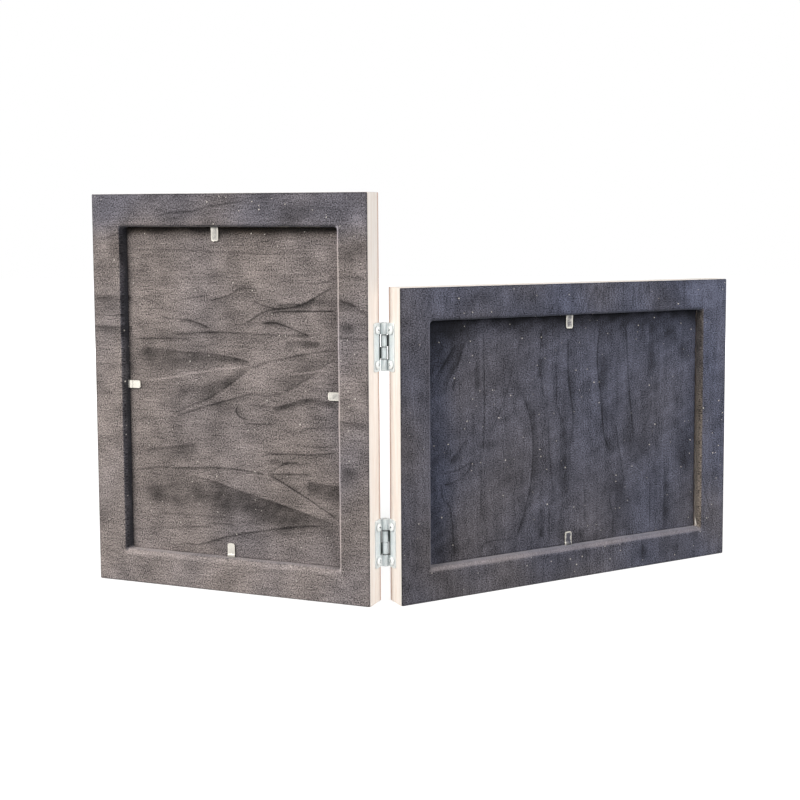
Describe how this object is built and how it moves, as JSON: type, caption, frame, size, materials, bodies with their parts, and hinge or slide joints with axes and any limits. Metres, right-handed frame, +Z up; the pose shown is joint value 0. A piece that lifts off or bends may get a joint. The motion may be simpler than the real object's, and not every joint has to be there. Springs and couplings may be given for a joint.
{
  "type": "double photo frame",
  "caption": "Hinged pair of pale wooden photo frames, one upright and one lying, velvet-backed, that stands like an open book.",
  "frame": {"origin": "middle of the whole object's box at its base, on the surface that it stands on", "axes": "+Z up; +X from the lying frame to the upright one; -Y is the picture side and +Y the velvet side, halfway between the two frames"},
  "size_m": [0.3714, 0.1044, 0.22],
  "materials": {
    "wood": "bare, finely sanded",
    "velvet": "short pile, brushed",
    "glass": "clear",
    "card": "matte",
    "board": "smooth hardboard",
    "zinc": "satin zinc plate",
    "tab_steel": "bright",
    "nail_steel": "plain"
  },
  "bodies": {
    "portrait_frame": {"portrait_rail_bottom": "wood", "portrait_rail_top": "wood", "portrait_rail_hinge_side": "wood", "portrait_rail_outer_side": "wood", "portrait_border_velvet": "velvet", "portrait_glass": "glass", "portrait_picture_card": "card", "portrait_back_board": "board", "portrait_board_velvet": "velvet", "portrait_nail_bottom_hinge_side": "nail_steel", "portrait_nail_hinge_side_top": "nail_steel", "portrait_nail_outer_side_bottom": "nail_steel", "portrait_nail_top_outer_side": "nail_steel", "portrait_tab_bottom_anchor": "tab_steel", "portrait_tab_hinge_side_anchor": "tab_steel", "portrait_tab_outer_side_anchor": "tab_steel", "portrait_tab_top_anchor": "tab_steel", "hinge_upper_leaf_portrait": "zinc", "hinge_upper_pin": "zinc", "hinge_upper_screw_portrait_top": "zinc", "hinge_upper_screw_portrait_bottom": "zinc", "hinge_lower_leaf_portrait": "zinc", "hinge_lower_pin": "zinc", "hinge_lower_screw_portrait_top": "zinc", "hinge_lower_screw_portrait_bottom": "zinc"},
    "landscape_frame": {"landscape_rail_bottom": "wood", "landscape_rail_top": "wood", "landscape_rail_hinge_side": "wood", "landscape_rail_outer_side": "wood", "landscape_border_velvet": "velvet", "landscape_glass": "glass", "landscape_picture_card": "card", "landscape_back_board": "board", "landscape_board_velvet": "velvet", "landscape_nail_bottom_outer_side": "nail_steel", "landscape_nail_hinge_side_bottom": "nail_steel", "landscape_nail_outer_side_top": "nail_steel", "landscape_nail_top_hinge_side": "nail_steel", "landscape_tab_bottom_anchor": "tab_steel", "landscape_tab_top_anchor": "tab_steel", "hinge_upper_leaf_landscape": "zinc", "hinge_upper_screw_landscape_top": "zinc", "hinge_upper_screw_landscape_bottom": "zinc", "hinge_lower_leaf_landscape": "zinc", "hinge_lower_screw_landscape_top": "zinc", "hinge_lower_screw_landscape_bottom": "zinc"},
    "portrait_bottom_blade": {"portrait_tab_bottom": "tab_steel"},
    "portrait_hinge_side_blade": {"portrait_tab_hinge_side": "tab_steel"},
    "portrait_outer_side_blade": {"portrait_tab_outer_side": "tab_steel"},
    "portrait_top_blade": {"portrait_tab_top": "tab_steel"},
    "landscape_bottom_blade": {"landscape_tab_bottom": "tab_steel"},
    "landscape_top_blade": {"landscape_tab_top": "tab_steel"}
  },
  "joints": [
    {"name": "book_fold", "type": "hinge", "parent": "portrait_frame", "child": "landscape_frame", "pos_m": [0.02275, 0.0395, 0], "axis": [0, 0, 1], "range_deg": [-34, 131]},
    {"name": "portrait_bottom_tab_bend", "type": "hinge", "parent": "portrait_frame", "child": "portrait_bottom_blade", "pos_m": [0.108, 0.01147, 0.0188], "axis": [-0.91, 0.4147, 0], "range_deg": [0, 90]},
    {"name": "portrait_hinge_side_tab_bend", "type": "hinge", "parent": "portrait_frame", "child": "portrait_hinge_side_blade", "pos_m": [0.04612, 0.03967, 0.11132], "axis": [0, 0, 1], "range_deg": [0, 90]},
    {"name": "portrait_outer_side_tab_bend", "type": "hinge", "parent": "portrait_frame", "child": "portrait_outer_side_blade", "pos_m": [0.1666, -0.01523, 0.11279], "axis": [0, 0, -1], "range_deg": [0, 90]},
    {"name": "portrait_top_tab_bend", "type": "hinge", "parent": "portrait_frame", "child": "portrait_top_blade", "pos_m": [0.11464, 0.00845, 0.2012], "axis": [0.91, -0.4147, 0], "range_deg": [0, 90]},
    {"name": "landscape_bottom_tab_bend", "type": "hinge", "parent": "landscape_frame", "child": "landscape_bottom_blade", "pos_m": [-0.08261, 0.00231, 0.0188], "axis": [-0.91, -0.4147, 0], "range_deg": [0, 90]},
    {"name": "landscape_top_tab_bend", "type": "hinge", "parent": "landscape_frame", "child": "landscape_top_blade", "pos_m": [-0.08281, 0.00222, 0.1512], "axis": [0.91, 0.4147, 0], "range_deg": [0, 90]}
  ]
}
